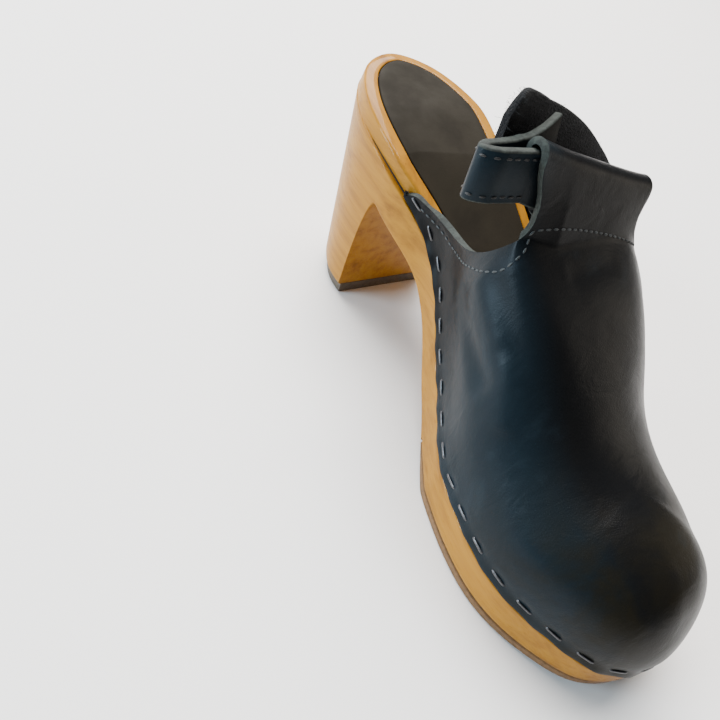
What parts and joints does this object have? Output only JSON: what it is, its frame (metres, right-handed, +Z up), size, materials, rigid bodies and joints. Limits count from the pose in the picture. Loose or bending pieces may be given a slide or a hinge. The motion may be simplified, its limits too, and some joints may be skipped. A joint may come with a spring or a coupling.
{
  "type": "high-heeled wooden clog",
  "caption": "Wooden-soled clog with a carved high heel, a black leather upper set in a rebate, and a heel strap folded through a tab.",
  "frame": {"origin": "middle of the footprint of the bounding box, on the floor that heel and forefoot stand on", "axes": "+Z up, +Y from the toe to the heel, -X the big-toe side"},
  "size_m": [0.0944, 0.2354, 0.1294],
  "materials": {
    "wood": "clear varnished honey-coloured wood with a soft gloss",
    "tread_rubber": "tan brown matt rubber",
    "lift_rubber": "grey-brown matt rubber",
    "sock_leather": "dark brown-grey matt leather",
    "black_leather": "black oiled leather, satin",
    "band_fabric": "black hook-and-loop band, fuzzy",
    "staple_steel": "dark steel wire staples",
    "thread": "dark waxed sewing thread"
  },
  "bodies": {
    "root": {"wood_sole": "wood", "forefoot_tread": "tread_rubber", "heel_lift": "lift_rubber", "insole_sock": "sock_leather", "upper": "black_leather", "heel_strap": "black_leather", "strap_band": "band_fabric"}
  },
  "joints": []
}
